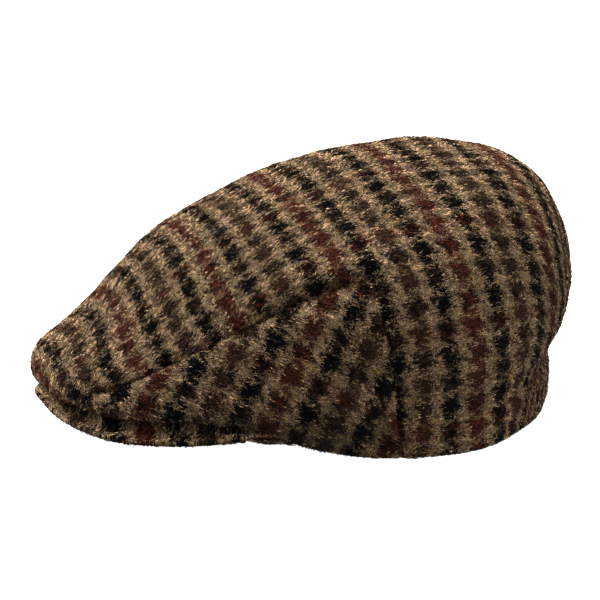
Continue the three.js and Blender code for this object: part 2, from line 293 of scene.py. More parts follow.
def crown_point(turn, level):
    """The crown's outer face with its folds, creases and unevenness."""
    turn, level = np.broadcast_arrays(np.asarray(turn, float), np.asarray(level, float))
    base = crown_base(turn, level)
    dent = np.zeros(turn.shape)
    for at, span, seam, middle_level, width, depth in FOLDS:
        across = (turn - at + 180) % 360 - 180
        off = level - middle_level - (upper_seam(turn) if seam else 0)
        dent += depth * np.exp(-((across / span) ** 2 + (off / width) ** 2))
    for turn_0, level_0, turn_1, level_1, width, depth in CREASES:
        x, y = (((turn - turn_0 + 180) % 360) - 180) * TURN_MM, (level - level_0) * LEVEL_MM
        dx, dy = (turn_1 - turn_0) * TURN_MM, (level_1 - level_0) * LEVEL_MM
        share = (x * dx + y * dy) / (dx * dx + dy * dy)
        aside = np.hypot(x - np.clip(share, 0, 1) * dx, y - np.clip(share, 0, 1) * dy)
        ends = np.clip(1.15 - 2.6 * (share - 0.5) ** 2, 0.2, 1)  # it grows weaker to both ends
        dent += depth * ends * np.exp(-((aside / width) ** 2))
    calm = np.clip((EDGE - level) / CALM_LEVELS, 0, 1)
    for direction, length, height, start in WAVES:
        k = np.array(direction) / np.linalg.norm(direction) * (2 * math.pi / length)
        dent += calm * height * np.sin(base @ k + start)
    return base - crown_normal(turn, level) * dent[..., None]


# The axis of the sections stands where the crown's rearmost point meets the solid's box.
rearmost = crown_base(np.full(200, 180.0), np.linspace(3, 5, 200))[:, 1].max()
AXIS_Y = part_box("top_panel")[1].y - rearmost * MM

# ---- the cloth's check -------------------------------------------------------------------
# The tweed's check is woven straight, and bends where the cloth was pulled over the block.
# Stripe and row numbers rise by one each 16 yarns, at the middle of a black band.
YARN = 1.62 * MM  # spacing of the yarns both ways
BAND = 16  # yarns from one black band to the next
BLACK_MIDDLE = 2  # yarns from a black band's edge to its middle
CHECK_GUIDES = [
    # turn, level, stripe across the cap, row along it; row -1 is the middle line
    (11, 3.9, -1, 1), (0, 3.1, 0, -1), (12, 3.3, 0, 0), (20, 3.6, 0, 1), (0, 2.55, 1, -1),
    (12, 2.7, 1, 0), (21, 3.05, 1, 1), (30, 3.45, 1, 2), (0, 2.0, 2, -1), (18, 2.25, 2, 0),
    (36, 2.95, 2, 2), (0, 1.45, 3, -1), (19, 1.6, 3, 0), (44, 2.45, 3, 2), (0, 0.95, 4, -1),
    (43, 1.4, 4, 1), (65, 2.85, 4, 3), (38, 0.6, 5, 0), (74, 1.55, 5, 2), (84, 3.4, 5, 4),
    (88, 4.9, 5, 6), (88, 0.4, 6, 0), (96, 1.5, 6, 2), (102, 4.1, 6, 5), (180, 0.5, 7, -1),
    (127, 1.0, 7, 1), (116, 2.35, 7, 3), (120, 4.9, 7, 6), (180, 1.35, 8, -1), (139, 1.85, 8, 2),
    (132, 3.4, 8, 4), (140, 4.8, 8, 6),
]
STRIPE_MM, ROW_MM = 26.5, 25.0  # a band's spacing on the cap, along it and across
DEGREE = 9
POWERS = [(i, j) for i in range(DEGREE + 1) for j in range(DEGREE + 1 - i) if i + j > 0]
REACH = 240.0  # mm, a little more than the way over the cloth from the top to the edge
# The way over the cloth from the top, down a spoke every few degrees.
SPOKES, SPOKE_CELLS = 120, 224
spoke_turns, spoke_levels = np.linspace(0, 360, SPOKES + 1), np.linspace(0, EDGE, SPOKE_CELLS + 1)
spoke_points = crown_base(spoke_turns[:, None], spoke_levels[None])
steps_down = np.linalg.norm(np.diff(spoke_points, axis=1), axis=-1)
WAY_DOWN = np.pad(np.cumsum(steps_down, 1), ((0, 0), (1, 0)))


def plan(turn, level):
    """The panel spread flat round its top: a to the wearer's left, b to the back."""
    i = (turn % 360) / (360 / SPOKES)
    j = np.clip(level / EDGE * SPOKE_CELLS, 0, SPOKE_CELLS - 0.001)
    m, n = i.astype(int), j.astype(int)
    f, g = i - m, j - n
    here, after = (
        WAY_DOWN[at, n] * (1 - g) + WAY_DOWN[at, n + 1] * g for at in (m, (m + 1) % SPOKES)
    )
    way = here * (1 - f) + after * f
    return way / REACH * np.sin(np.radians(turn)), -way / REACH * np.cos(np.radians(turn))


def polynomials(a, b):
    """Each Chebyshev product at the points, and how it changes with a and with b."""
    tables = []
    for x in (a, b):
        value, change = [np.ones_like(x), x], [np.zeros_like(x), np.ones_like(x)]
        for n in range(2, DEGREE + 1):
            value.append(2 * x * value[-1] - value[-2])
            change.append(2 * value[n - 1] + 2 * x * change[-1] - change[-2])
        tables.append((value, change))
    (va, ca), (vb, cb) = tables
    return (
        np.stack([va[i] * vb[j] for i, j in POWERS], -1),
        np.stack([ca[i] * vb[j] for i, j in POWERS], -1),
        np.stack([va[i] * cb[j] for i, j in POWERS], -1),
    )


guides = np.array(CHECK_GUIDES, float)
guide_values = polynomials(*plan(guides[:, 0], guides[:, 1]))[0]


def lay_check():
    """Fits the check to the top panel: yarns keep their length first and their right angle
    second, and the guides hold. Returns the polynomials' factors along and across, in mm."""
    rows = 28
    turn, share = np.meshgrid(
        np.arange(0, 360, 5.0), (np.arange(rows) + 0.5) / rows, indexing="ij"
    )
    beside = (from_front(turn) >= SEAM_FRONT) & (from_front(turn) <= SEAM_REAR)
    end = np.where(beside, upper_seam(turn), EDGE)
    turn, level = turn.ravel(), (share * end).ravel()
    a, b = plan(turn, level)

    def change_of(surface):
        """How a surface changes with the turn and with the level."""
        t, d = 1.5, 0.03
        return (
            (surface(turn + t, level) - surface(turn - t, level)) / (2 * t),
            (surface(turn, level + d) - surface(turn, level - d)) / (2 * d),
        )

    by_turn, by_level = change_of(crown_base)
    (a_turn, b_turn), (a_level, b_level) = change_of(lambda t, d: np.stack(plan(t, d)))
    spread = a_turn * b_level - a_level * b_turn
    along_a = (by_turn * b_level[:, None] - by_level * b_turn[:, None]) / spread[:, None]
    along_b = (by_level * a_turn[:, None] - by_turn * a_level[:, None]) / spread[:, None]
    area = np.linalg.norm(np.cross(by_turn, by_level), axis=1) * end.ravel()
    weight = np.sqrt(area / area.mean())[:, None]
    value, by_a, by_b = polynomials(a, b)
    held = guide_values - guide_values.mean(0)
    wanted = guides[:, 2:] - guides[:, 2:].mean(0)
    # What a slant between the yarns, their crowding and a missed guide count beside length.
    shear, crowd, hold, n = 0.15, 0.35, 10.0, len(POWERS)
    pairs = ((along_a, along_a), (along_a, along_b), (along_b, along_b))
    aa, ab, bb = ((x * y).sum(1) for x, y in pairs)
    whole = aa * bb - ab * ab

    def slope_of(by_a_now, by_b_now):
        """How fast a yarn count rises over the surface, and how each factor changes that."""
        up_a = (bb * by_a_now - ab * by_b_now) / whole
        up_b = (aa * by_b_now - ab * by_a_now) / whole
        rise = np.sqrt(by_a_now * up_a + by_b_now * up_b)
        return rise, (up_a / rise)[:, None] * by_a + (up_b / rise)[:, None] * by_b

    def state(fit):
        """What is still wrong with a fit, and what its changes are worked out from."""
        u, v = fit[:n], fit[n:]
        ua, ub, va, vb = by_a @ u, by_b @ u, by_a @ v, by_b @ v
        det = ua * vb - ub * va
        inverse = (vb / det, -ub / det, -va / det, ua / det)
        warp = along_a * inverse[0][:, None] + along_b * inverse[2][:, None]
        weft = along_a * inverse[1][:, None] + along_b * inverse[3][:, None]
        warp_length, weft_length = np.linalg.norm(warp, axis=1), np.linalg.norm(weft, axis=1)
        angle = (warp * weft).sum(1)
        w = weight[:, 0]
        rest = np.concatenate([
            (warp_length - 1) * w, (weft_length - 1) * w, shear * angle * w,
            crowd * (slope_of(ua, ub)[0] - 1) * w, crowd * (slope_of(va, vb)[0] - 1) * w,
            hold * (held @ u / STRIPE_MM - wanted[:, 0]), hold * (held @ v / ROW_MM - wanted[:, 1]),
        ])
        return rest, det, inverse, warp_length[:, None], weft_length[:, None], angle[:, None]

    # It starts as a plain drawing from above: along is b and across is a, in mm to the chart's
    # reach. The left half mirrors the right one, so along is even in a and across is odd.
    fit = np.zeros(2 * n)
    free = np.array([i % 2 == odd for odd in (0, 1) for i, _ in POWERS])
    fit[POWERS.index((0, 1))], fit[n + POWERS.index((1, 0))] = 200.0, 190.0
    rounds, tries = 60, 8
    damping, found = 1e-2, state(fit)
    for _ in range(rounds):
        rest, det, inverse, p, q, angle = found
        g = by_a * inverse[0][:, None] + by_b * inverse[2][:, None]
        k = by_a * inverse[1][:, None] + by_b * inverse[3][:, None]
        none = np.zeros_like(held)
        change = np.block([
            [-p * g * weight, -(angle / p) * g * weight],
            [-(angle / q) * k * weight, -q * k * weight],
            [shear * weight * (-angle * g - p**2 * k), shear * weight * (-(q**2) * g - angle * k)],
            [crowd * weight * slope_of(by_a @ fit[:n], by_b @ fit[:n])[1], np.zeros_like(g)],
            [np.zeros_like(g), crowd * weight * slope_of(by_a @ fit[n:], by_b @ fit[n:])[1]],
            [hold * held / STRIPE_MM, none],
            [none, hold * held / ROW_MM],
        ])[:, free]
        square, slope = change.T @ change, change.T @ rest
        for _ in range(tries):
            step = np.zeros(2 * n)
            step[free] = np.linalg.solve(square + damping * np.diag(np.diag(square) + 1e-9), slope)
            tried = state(fit - step)
            if tried[0] @ tried[0] < rest @ rest and (tried[1] < 0).all():
                fit, found, damping = fit - step, tried, max(damping * 0.3, 1e-6)
                break
            damping *= 5
    return fit[:n], fit[n:]


fit_along, fit_across = lay_check()
START = (
    (guides[:, 2] - guide_values @ fit_along / STRIPE_MM).mean(),
    (guides[:, 3] - guide_values @ fit_across / ROW_MM).mean(),
)
BAND_LEVEL = 4.5  # below this the cloth runs straight down to the edge of the opening


def fitted_cloth(turn, level):
    """The fitted check's place on the woven cloth there, in metres."""
    value = polynomials(*plan(turn, level))[0]
    stripe = value @ fit_along / STRIPE_MM + START[0]
    row = value @ fit_across / ROW_MM + START[1]
    return np.stack([stripe * BAND + BLACK_MIDDLE, row * BAND + BLACK_MIDDLE], -1) * YARN


def top_cloth(turn, level):
    """Where on the woven cloth each point of the top panel lies, in metres."""
    turn, level = np.broadcast_arrays(turn, level)
    held = np.minimum(level, np.where(from_front(turn) > SEAM_FRONT, BAND_LEVEL, EDGE))
    below = (np.hypot(*plan(turn, level)) - np.hypot(*plan(turn, held))) * REACH * MM
    step = 0.15
    down = unit(fitted_cloth(turn, held) - fitted_cloth(turn, held - step))
    return fitted_cloth(turn, held) + down * below[..., None]


# ---- tweed -------------------------------------------------------------------------------
# Brushed wool tweed, 2/2 twill in fours: black, tan, red, tan, black, tan, brown, tan both
# ways. Soft spun yarn, so the blocks' edges are ragged, the surface is matt and hairy, and
# fibres of one colour cross into the next.
TAN, BLACK, BROWN, RED = "#a28a6a", "#040506", "#3a291f", "#50251c"
GOLDEN, ROSY = "#ad8d42", "#a07a64"  # tan yarns vary towards these
SHEEN_TINT, FADED = "#b8ab94", "#7f7264"  # the fibres' sheen, and hairs without their dye


def add(tree, kind, inputs=(), **settings):
    """A new node with its settings; inputs maps a socket to its value or to what feeds it."""
    node = tree.nodes.new(kind)
    for name, value in settings.items():
        setattr(node, name, value)
    for socket, value in dict(inputs).items():
        if isinstance(value, bpy.types.NodeSocket):
            tree.links.new(value, node.inputs[socket])
        else:
            node.inputs[socket].default_value = value
    return node


def maths(tree, operation, *values):
    return add(tree, "ShaderNodeMath", dict(enumerate(values)), operation=operation).outputs[0]


def vectors(tree, operation, *values):
    """SCALE takes a vector and a number."""
    inputs = {0: values[0], "Scale": values[1]} if operation == "SCALE" else dict(enumerate(values))
    return add(tree, "ShaderNodeVectorMath", inputs, operation=operation).outputs[0]


def mixed(tree, kind, share, low, high):
    """From low to high by a share, for numbers (FLOAT) or colours (RGBA)."""
    first, out = {"FLOAT": (2, 0), "RGBA": (6, 2)}[kind]
    inputs = {"Factor": share, first: low, first + 1: high}
    return add(tree, "ShaderNodeMix", inputs, data_type=kind).outputs[out]


def ranged(tree, value, start=(0, 1), end=(0, 1)):
    """A value's place between the two of start, as its place between the two of end."""
    names = ("Value", "From Min", "From Max", "To Min", "To Max")
    return add(tree, "ShaderNodeMapRange", dict(zip(names, (value, *start, *end)))).outputs[0]


tweed = bpy.data.node_groups.new("tweed_check", "ShaderNodeTree")
tweed.interface.new_socket("Cloth", in_out="INPUT", socket_type="NodeSocketVector")
for name, kind in (("Colour", "Color"), ("Dyed", "Color"), ("Height", "Float")):
    tweed.interface.new_socket(name, in_out="OUTPUT", socket_type="NodeSocket" + kind)
cloth_in = add(tweed, "NodeGroupInput").outputs["Cloth"]
yarns = vectors(tweed, "SCALE", cloth_in, 1 / YARN)
# The dark yarns are a little thicker than the tan ones, so the bands swell and shrink in turn.
SWELL = 0.32  # yarns
in_turn = vectors(tweed, "MULTIPLY_ADD", yarns, (math.pi / 4,) * 3, (-math.pi / 2,) * 3)
swell = vectors(tweed, "SINE", in_turn)
moved = vectors(tweed, "MULTIPLY_ADD", swell, (-SWELL, -SWELL, 0), yarns)
# Yarns wander by up to half their spacing over a hand's breadth. At a block's edge hairs run
# over the next colour along both yarns, which frays the edge like a comb.
WANDERS = [
    # waves a yarn each way, reach in yarns each way, detail
    ((0.06, 0.06, 1), (1.8, 1.8, 0), 1.0),
    ((0.4, 0.4, 1), (1.8, 1.8, 0), 1.0),
    ((0.45, 2.4, 1), (5.6, 0, 0), 2.0),
    ((2.4, 0.45, 1), (0, 5.6, 0), 2.0),
]
for scale, reach, detail in WANDERS:
    scaled = vectors(tweed, "MULTIPLY", yarns, scale)
    noise = add(tweed, "ShaderNodeTexNoise", {"Vector": scaled, "Scale": 1.0, "Detail": detail})
    centred = vectors(tweed, "SUBTRACT", noise.outputs["Color"], (0.5, 0.5, 0.5))
    moved = vectors(tweed, "ADD", moved, vectors(tweed, "MULTIPLY", centred, reach))
split = add(tweed, "ShaderNodeSeparateXYZ", {0: moved})
u, v = split.outputs[0], split.outputs[1]
warp_no, weft_no = maths(tweed, "FLOOR", u), maths(tweed, "FLOOR", v)
# The warp is on top at two crossings in each four, one further on in each row.
apart = maths(tweed, "SUBTRACT", warp_no, weft_no)
twill = maths(tweed, "LESS_THAN", maths(tweed, "FLOORED_MODULO", apart, 4.0), 1.5)
# The yarns along the cap are thinner, so the stripes' yarns show on both sides of them.
HALF_THIN = 0.27  # half a thin yarn's width, in yarns
part_u, part_v = maths(tweed, "FRACT", u), maths(tweed, "FRACT", v)
thin = maths(tweed, "COMPARE", part_v, 0.5, HALF_THIN)
beside = maths(tweed, "SUBTRACT", 1.0, thin)
warp_up = maths(tweed, "MAXIMUM", twill, beside)
shown = maths(tweed, "MULTIPLY_ADD", warp_up, apart, weft_no)
# Colour of the yarn on top: each group of eight is four coloured and four tan yarns.
is_tan = maths(tweed, "GREATER_THAN", maths(tweed, "FLOORED_MODULO", shown, 8.0), 3.5)
group_no = maths(tweed, "FLOOR", maths(tweed, "DIVIDE", shown, 8.0))
in_groups = maths(tweed, "FLOORED_MODULO", group_no, 4.0)
is_red = maths(tweed, "COMPARE", in_groups, 1.0, 0.5)
is_brown = maths(tweed, "COMPARE", in_groups, 3.0, 0.5)
hue = add(tweed, "ShaderNodeTexNoise", {"Vector": yarns, "Scale": 0.7, "Detail": 2.0}).outputs["Fac"]
tan = linear(TAN)
for reach, other in (((0.56, 0.72), GOLDEN), ((0.44, 0.3), ROSY)):
    tan = mixed(tweed, "RGBA", ranged(tweed, hue, reach), tan, linear(other))
colour = linear(BLACK)
for share, dyed in ((is_brown, linear(BROWN)), (is_red, linear(RED)), (is_tan, tan)):
    colour = mixed(tweed, "RGBA", share, colour, dyed)
# Each yarn is spun from wool of several shades, drawn out along it: streaks about three
# millimetres long. Their light and dark are partly the wool's own shades and partly a painted
# highlight where a hair stands up, with painted shade beside it.
STREAK_NOISE = {"Scale": 1.0, "Detail": 2.0, "Roughness": 0.7}
streaks = []
for scale in ((0.6, 2.6, 1), (2.6, 0.6, 1)):
    scaled = vectors(tweed, "MULTIPLY", moved, scale)
    streaks.append(add(tweed, "ShaderNodeTexNoise", {"Vector": scaled, **STREAK_NOISE}).outputs["Fac"])
streak = mixed(tweed, "FLOAT", warp_up, *streaks)
# The streaks' painted highlight and shade of standing hairs, over the wool's own streaky shades.
melange_and_painted_shade = ranged(tweed, streak, (0.41, 0.6), (0.02, 2.4))
yarn_noise = add(tweed, "ShaderNodeTexWhiteNoise", {"W": shown}, noise_dimensions="1D").outputs["Value"]
uneven = ranged(tweed, yarn_noise, end=(0.82, 1.14))
# Height of the yarn on top: round across, and rising and dipping along each float of two.
across = mixed(tweed, "FLOAT", warp_up, part_v, part_u)
warp_from = maths(tweed, "ADD", maths(tweed, "SUBTRACT", warp_no, v), 1.0)
weft_from = maths(tweed, "SUBTRACT", maths(tweed, "SUBTRACT", u, weft_no), 2.0)
run = mixed(tweed, "FLOAT", warp_up, weft_from, warp_from)
run_in_four = maths(tweed, "FLOORED_MODULO", run, 4.0)
rounded = maths(tweed, "SINE", maths(tweed, "MULTIPLY", across, math.pi))
arched = maths(tweed, "SINE", maths(tweed, "MULTIPLY", run_in_four, math.pi / 2))
raised = maths(tweed, "MULTIPLY_ADD", arched, 0.5, 0.5)
yarn_height = maths(tweed, "MULTIPLY", rounded, raised)
height = maths(tweed, "MULTIPLY_ADD", streak, 1.6, yarn_height)
# Light hardly reaches between the yarns.
lit = ranged(tweed, yarn_height, (0, 0.7), (0.08, 1.4))
shade = maths(tweed, "MULTIPLY", maths(tweed, "MULTIPLY", melange_and_painted_shade, uneven), lit)
shaded = vectors(tweed, "SCALE", colour, shade)
add(tweed, "NodeGroupOutput", {"Colour": shaded, "Dyed": colour, "Height": height})


def woollen(name, sheen):
    """Matt wool that reads the tweed's check from its cloth coordinates."""
    material = bpy.data.materials.new(name)
    material.use_nodes = True
    tree = material.node_tree
    shader = tree.nodes["Principled BSDF"]
    for socket, value in (
        ("Roughness", 0.95), ("Specular IOR Level", 0.04), ("Sheen Weight", sheen),
        ("Sheen Roughness", 0.35), ("Sheen Tint", linear(SHEEN_TINT)),
    ):
        shader.inputs[socket].default_value = value
    cloth = add(tree, "ShaderNodeUVMap", uv_map="cloth").outputs["UV"]
    check = add(tree, "ShaderNodeGroup", node_tree=tweed)
    tree.links.new(cloth, check.inputs["Cloth"])
    return material, tree, shader, check, cloth


# The cloth itself: the weave with its relief.
woven, tree, shader, check, cloth = woollen("wool_tweed_brushed", 0.015)
bump = add(
    tree, "ShaderNodeBump", {"Strength": 1.0, "Distance": 0.5 * MM, "Height": check.outputs["Height"]}
)
tree.links.new(check.outputs["Colour"], shader.inputs["Base Color"])
tree.links.new(bump.outputs["Normal"], shader.inputs["Normal"])

# A hair has one colour all along, the dye of its yarn, and hairs differ in how pale they are
# and a little in hue. One in eleven has lost its dye, which shows most over the black.
HAIR_SCALE = 7e4  # makes the cloth coordinates of any two hairs differ by far
PALENESS, PALE_POWER = (0.1, 5.6), 3.2
FADED_FROM = 0.91
TINT_SPREAD, TINT_LEAST = (0.2, 0.2, 0.6), (0.9, 0.93, 0.74)
hair_wool, tree, shader, check, cloth = woollen("wool_hair", 0.03)
each = vectors(tree, "SCALE", cloth, HAIR_SCALE)
lot = add(tree, "ShaderNodeTexWhiteNoise", {"Vector": each}, noise_dimensions="2D").outputs
paleness = ranged(tree, maths(tree, "POWER", lot["Value"], PALE_POWER), end=PALENESS)
dyed_hair = vectors(tree, "SCALE", check.outputs["Dyed"], paleness)
drawn = add(tree, "ShaderNodeSeparateXYZ", {0: lot["Color"]}).outputs[1]
faded = maths(tree, "GREATER_THAN", drawn, FADED_FROM)
tint = vectors(tree, "MULTIPLY_ADD", lot["Color"], TINT_SPREAD, TINT_LEAST)
tinted = vectors(tree, "MULTIPLY", dyed_hair, tint)
hair_colour = mixed(tree, "RGBA", faded, tinted, linear(FADED))
tree.links.new(hair_colour, shader.inputs["Base Color"])

# ---- laying a panel ----------------------------------------------------------------------
# A panel starts as a flat grid and is laid on the crown row by row. At a seam its edge is
# rolled in, as a turned and pressed seam is, and at the opening the cloth is turned under.
CLOTH = 1.9  # mm, the tweed's thickness with its facing
SEAM_SINK, SEAM_ROUND = 1.9, 1.5  # mm, how far a seam's edge sinks and how wide its round is
SEAM_SHALLOW = 0.3  # share of the sink left at the edge of the opening
SEAM_GAP = -0.05  # mm, half the line between two turned edges, which are sewn tight
HEM_ROUND = 2.2  # mm, the radius of the turned edge of the opening
HEM_SPREAD = 14  # mm of cloth in a level at the edge of the opening, at the least
CLOSE_ROWS = [0, 0.35, 0.8, 1.4, 2.2, 3.3]  # mm from a seam, where the rows lie closer
MERGE = 2e-5  # metres
outer_faces = {}  # each panel's faces before its thickness is added, which come first


def read(items, attribute, width=1, kind=float):
    """One attribute of all the items, as an array with width numbers in a row."""
    table = np.empty(len(items) * width, kind)
    items.foreach_get(attribute, table)
    return table.reshape(-1, width) if width > 1 else table


def crowded(count, length, start=True, end=True):
    """count cells over a length in mm as shares, with closer ones at its marked ends."""
    near = np.array(CLOSE_ROWS) / length
    inner = count - len(CLOSE_ROWS) * (start + end) + start + end
    low, high = (near[-1] if start else 0.0), 1 - (near[-1] if end else 0.0)
    parts = [near[:-1]] if start else []
    parts.append(np.linspace(low, high, inner + 1))
    parts += [1 - near[-2::-1]] if end else []
    return np.concatenate(parts)


def lay(name, across, down, place, cloth):
    """A grid with lines at those shares, laid by place(s, t) in mm, with its cloth UVs."""
    cells_across, cells_down = len(across) - 1, len(down) - 1
    bpy.ops.object.select_all(action="DESELECT")
    bpy.ops.mesh.primitive_grid_add(x_subdivisions=cells_across, y_subdivisions=cells_down, size=2)
    piece = bpy.context.object
    piece.name = piece.data.name = name
    flat = read(piece.data.vertices, "co", 3)
    s, t = ((flat[:, k] + 1) / 2 for k in (0, 1))
    s = across[np.rint(s * cells_across).astype(int)]
    t = down[np.rint(t * cells_down).astype(int)]
    points = place(s, t) * MM + (0, AXIS_Y, 0)
    piece.data.vertices.foreach_set("co", points.ravel())
    for layer in list(piece.data.uv_layers):
        piece.data.uv_layers.remove(layer)
    corner = read(piece.data.loops, "vertex_index", kind=int)
    piece.data.uv_layers.new(name="cloth").data.foreach_set("uv", cloth(s, t)[corner].ravel())
    piece.data.update()
    return piece


def rolled(turn, level, away):
    """Points of a panel, sunk by the round of a seam's edge at away mm from the seam."""
    point = crown_point(turn, level)
    depth = SEAM_SINK * np.clip((EDGE - level) / CALM_LEVELS, SEAM_SHALLOW, 1)
    sink = depth * np.exp(-((away / SEAM_ROUND) ** 2))
    to_edge = np.clip((EDGE - level) * HEM_SPREAD, 0, HEM_ROUND)
    sink += HEM_ROUND - np.sqrt(np.maximum(HEM_ROUND**2 - (HEM_ROUND - to_edge) ** 2, 0))
    point = point - crown_normal(turn, level) * sink[..., None]
    point[..., 2] = np.maximum(point[..., 2], 0)
    return point


def per_level(turn, level):
    """Millimetres of cloth in one level, there."""
    step = 0.02
    lower = np.clip(level, 0.03, EDGE)
    return np.linalg.norm(crown_base(turn, lower) - crown_base(turn, lower - step), axis=-1) / step


def sew(fill=False):
    """Merges the active mesh's doubled points, fills its holes if asked and faces it one way."""
    bpy.ops.object.mode_set(mode="EDIT")
    bpy.ops.mesh.select_all(action="SELECT")
    bpy.ops.mesh.remove_doubles(threshold=MERGE)
    if fill:
        bpy.ops.mesh.fill_holes(sides=400)
    bpy.ops.mesh.select_all(action="SELECT")
    bpy.ops.mesh.normals_make_consistent(inside=False)
    bpy.ops.object.mode_set(mode="OBJECT")


def thicken(piece, joined=()):
    """Joins and closes the laid grids, faces them out and gives the cloth its thickness."""
    bpy.ops.object.select_all(action="DESELECT")
    for part in (piece, *joined):
        part.select_set(True)
    bpy.context.view_layer.objects.active = piece
    if joined:
        bpy.ops.object.join()
    sew()
    # An open sheet has no inside of its own: out is away from the middle of the opening.
    centre = Vector((0, AXIS_Y, 0.03))
    if sum((face.center - centre).dot(face.normal) * face.area for face in piece.data.polygons) < 0:
        bpy.ops.object.mode_set(mode="EDIT")
        bpy.ops.mesh.flip_normals()
        bpy.ops.object.mode_set(mode="OBJECT")
    outer_faces[piece.name] = len(piece.data.polygons)
    solid = piece.modifiers.new("cloth thickness", "SOLIDIFY")
    solid.thickness, solid.offset, solid.use_even_offset = CLOTH * MM, -1.0, False
    bpy.ops.object.modifier_apply(modifier=solid.name)
    bpy.ops.object.shade_smooth()
    piece.data.materials.clear()
    piece.data.materials.append(woven)
    return piece


# ---- top panel ---------------------------------------------------------------------------
# One piece of tweed that makes the whole top of the cap: it turns under in front over the
# peak and runs down behind to the rim. It is sewn to the side panels along their edges.
FRONT_TURN_MM, UPPER_TURN_MM = 1.9, 1.8  # mm of cloth in a degree at those seams
NO_SEAM = 99.0  # mm
close_turns = np.array(CLOSE_ROWS) / UPPER_TURN_MM
turn_lines = np.unique(np.round(np.concatenate([
    np.arange(-SEAM_FRONT, 360 - SEAM_FRONT + 0.5),
    *(SEAM_FRONT - close_turns, close_turns - SEAM_FRONT, 360 - SEAM_FRONT + close_turns[:1]),
    *(SEAM_REAR + close_turns, 360 - SEAM_REAR - close_turns),
]), 4))
front_lines = turn_lines[turn_lines <= SEAM_FRONT]
rear_lines = turn_lines[(turn_lines >= SEAM_REAR) & (turn_lines <= 360 - SEAM_REAR)]


def over_crown(turn, t):
    """The turn, level and way to the nearest seam, t from the top to the upper seam."""
    seam = upper_seam(turn)
    level = seam * t
    beside = (from_front(turn) >= SEAM_FRONT - 1e-6) & (from_front(turn) <= SEAM_REAR + 1e-6)
    step = per_level(turn, level)
    away = np.where(beside, (seam - level) * step + SEAM_GAP, NO_SEAM)
    return turn, level - np.where(beside & (t == 1), SEAM_GAP / step, 0), away


def front_fold(turn, t):
    """The same for the front between the side panels, t down to the opening's edge."""
    level = upper_seam(turn) + (EDGE - upper_seam(turn)) * t
    return turn, level, (SEAM_FRONT - from_front(turn)) * FRONT_TURN_MM + SEAM_GAP


def rear_skirt(turn, t):
    """The same for the back between the rear seams, whose turns close up as they go down."""
    level = upper_seam(SEAM_REAR) + (EDGE - upper_seam(SEAM_REAR)) * t
    start = rear_seam(level)
    turn = start + (turn - SEAM_REAR) / (180 - SEAM_REAR) * (180 - start)
    return turn, level, np.minimum(turn - start, 360 - start - turn) * TURN_MM + SEAM_GAP


grids = []
for name, lines, rows, where in (
    ("top_panel_cloth", turn_lines, crowded(64, 145, start=False), over_crown),
    ("front_fold_grid", front_lines, crowded(36, 62, start=False), front_fold),
    ("rear_skirt_grid", rear_lines, crowded(50, 100, start=False), rear_skirt),
):
    grids.append(lay(
        name, lines, rows,
        lambda s, t, where=where: rolled(*where(s, t)),
        lambda s, t, where=where: top_cloth(*where(s, t)[:2]),
    ))
top_panel = thicken(grids[0], grids[1:])
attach(top_panel, "root")
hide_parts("top_panel")

# ---- side panels -------------------------------------------------------------------------
# A three-cornered gusset of tweed on each side, sewn between the top panel and the rim. Its
# check is cut askew: a black band's step runs down and back, seen from the side.
SIDE_BANDS = ((25.6, 10.6), (-10.6, 22.6))  # mm back and down from one black band to the next
SIDE_FROM = (-11.8, 18.6)  # mm back and down from the looked-at middle to a black block
side_right = Vector((math.cos(math.radians(VIEW_AZIMUTH)), math.sin(math.radians(VIEW_AZIMUTH)), 0))
side_down = side_right.cross(toward)


def gusset(side, s, t):
    """The turn, level and way to the nearest seam, s from front to rear, t downwards."""
    corner = upper_seam(SEAM_REAR) + t * (EDGE - upper_seam(SEAM_REAR))
    rear = rear_seam(corner)
    turn = SEAM_FRONT + (rear - SEAM_FRONT) * s
    over = upper_seam(SEAM_FRONT + (SEAM_REAR - SEAM_FRONT) * s)
    level = over + t * (EDGE - over)
    step = per_level(turn, level)
    down = (level - over) * step + SEAM_GAP
    inward = np.minimum(turn - SEAM_FRONT, rear - turn) * UPPER_TURN_MM + SEAM_GAP
    level = level + np.where(t == 0, SEAM_GAP / step, 0)
    return side * turn, level, np.minimum(down, inward)


def side_cloth(side, s, t):
    """The cloth of either side, laid as it is seen on the left one."""
    turn, level, _ = gusset(side, s, t)
    point = crown_base(side * turn, level) * MM + (0, AXIS_Y, 0) - np.array(looked_at)
    seen = np.stack([point @ np.array(side_right), point @ np.array(side_down)], -1) / MM
    return ((seen - SIDE_FROM) @ np.linalg.inv(SIDE_BANDS) * BAND + BLACK_MIDDLE) * YARN


side_panels = []
for side, name, node in (
    (1, "left_side_panel_cloth", "side_panel_left"), (-1, "right_side_panel_cloth", "side_panel_right"),
):
    panel = lay(
        name, crowded(86, 120), crowded(52, 62, end=False),
        lambda s, t, side=side: rolled(*gusset(side, s, t)),
        lambda s, t, side=side: side_cloth(side, s, t),
    )
    thicken(panel)
    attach(panel, "root")
    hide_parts(node)
    side_panels.append(panel)

# ---- peak --------------------------------------------------------------------------------
# A short curved board covered with the same tweed on both faces. It follows the underside
# of the front fold and shows as a soft edge below it; its two ends thin out at the sides.
PEAK_EDGE = [
    # turn, distance from the axis, height of the upper face, in mm
    (0, 149, 20.6), (12, 147.3, 16.8), (22, 139.8, 13.4), (34, 123.5, 12.9), (47, 105.6, 15.4),
    (53, 98.8, 14.4), (58, 92.5, 11.5),
]
PEAK_TURN, PEAK_THINS = 58.0, 9  # degrees from the front to an end, and over which it thins
PEAK_CLEAR, TIP_CLEAR = 0.9, 0.25  # mm under the fold, and where the ends thin out
PEAK_WALL, PEAK_RIM, PEAK_TIP = 4.0, 3.2, 0.9  # mm thick inside, at its rim and at its ends
PEAK_SAG = 1.8  # mm, its hollow between the fold and the rim
PEAK_COLUMNS, PEAK_UNDER, PEAK_OUT, PEAK_NOSE = 150, 22, 14, 7  # cells round, in, out and at the rim
PEAK_BAND, PEAK_FROM = 26.0, (3, 5)  # mm between black bands, and where they start
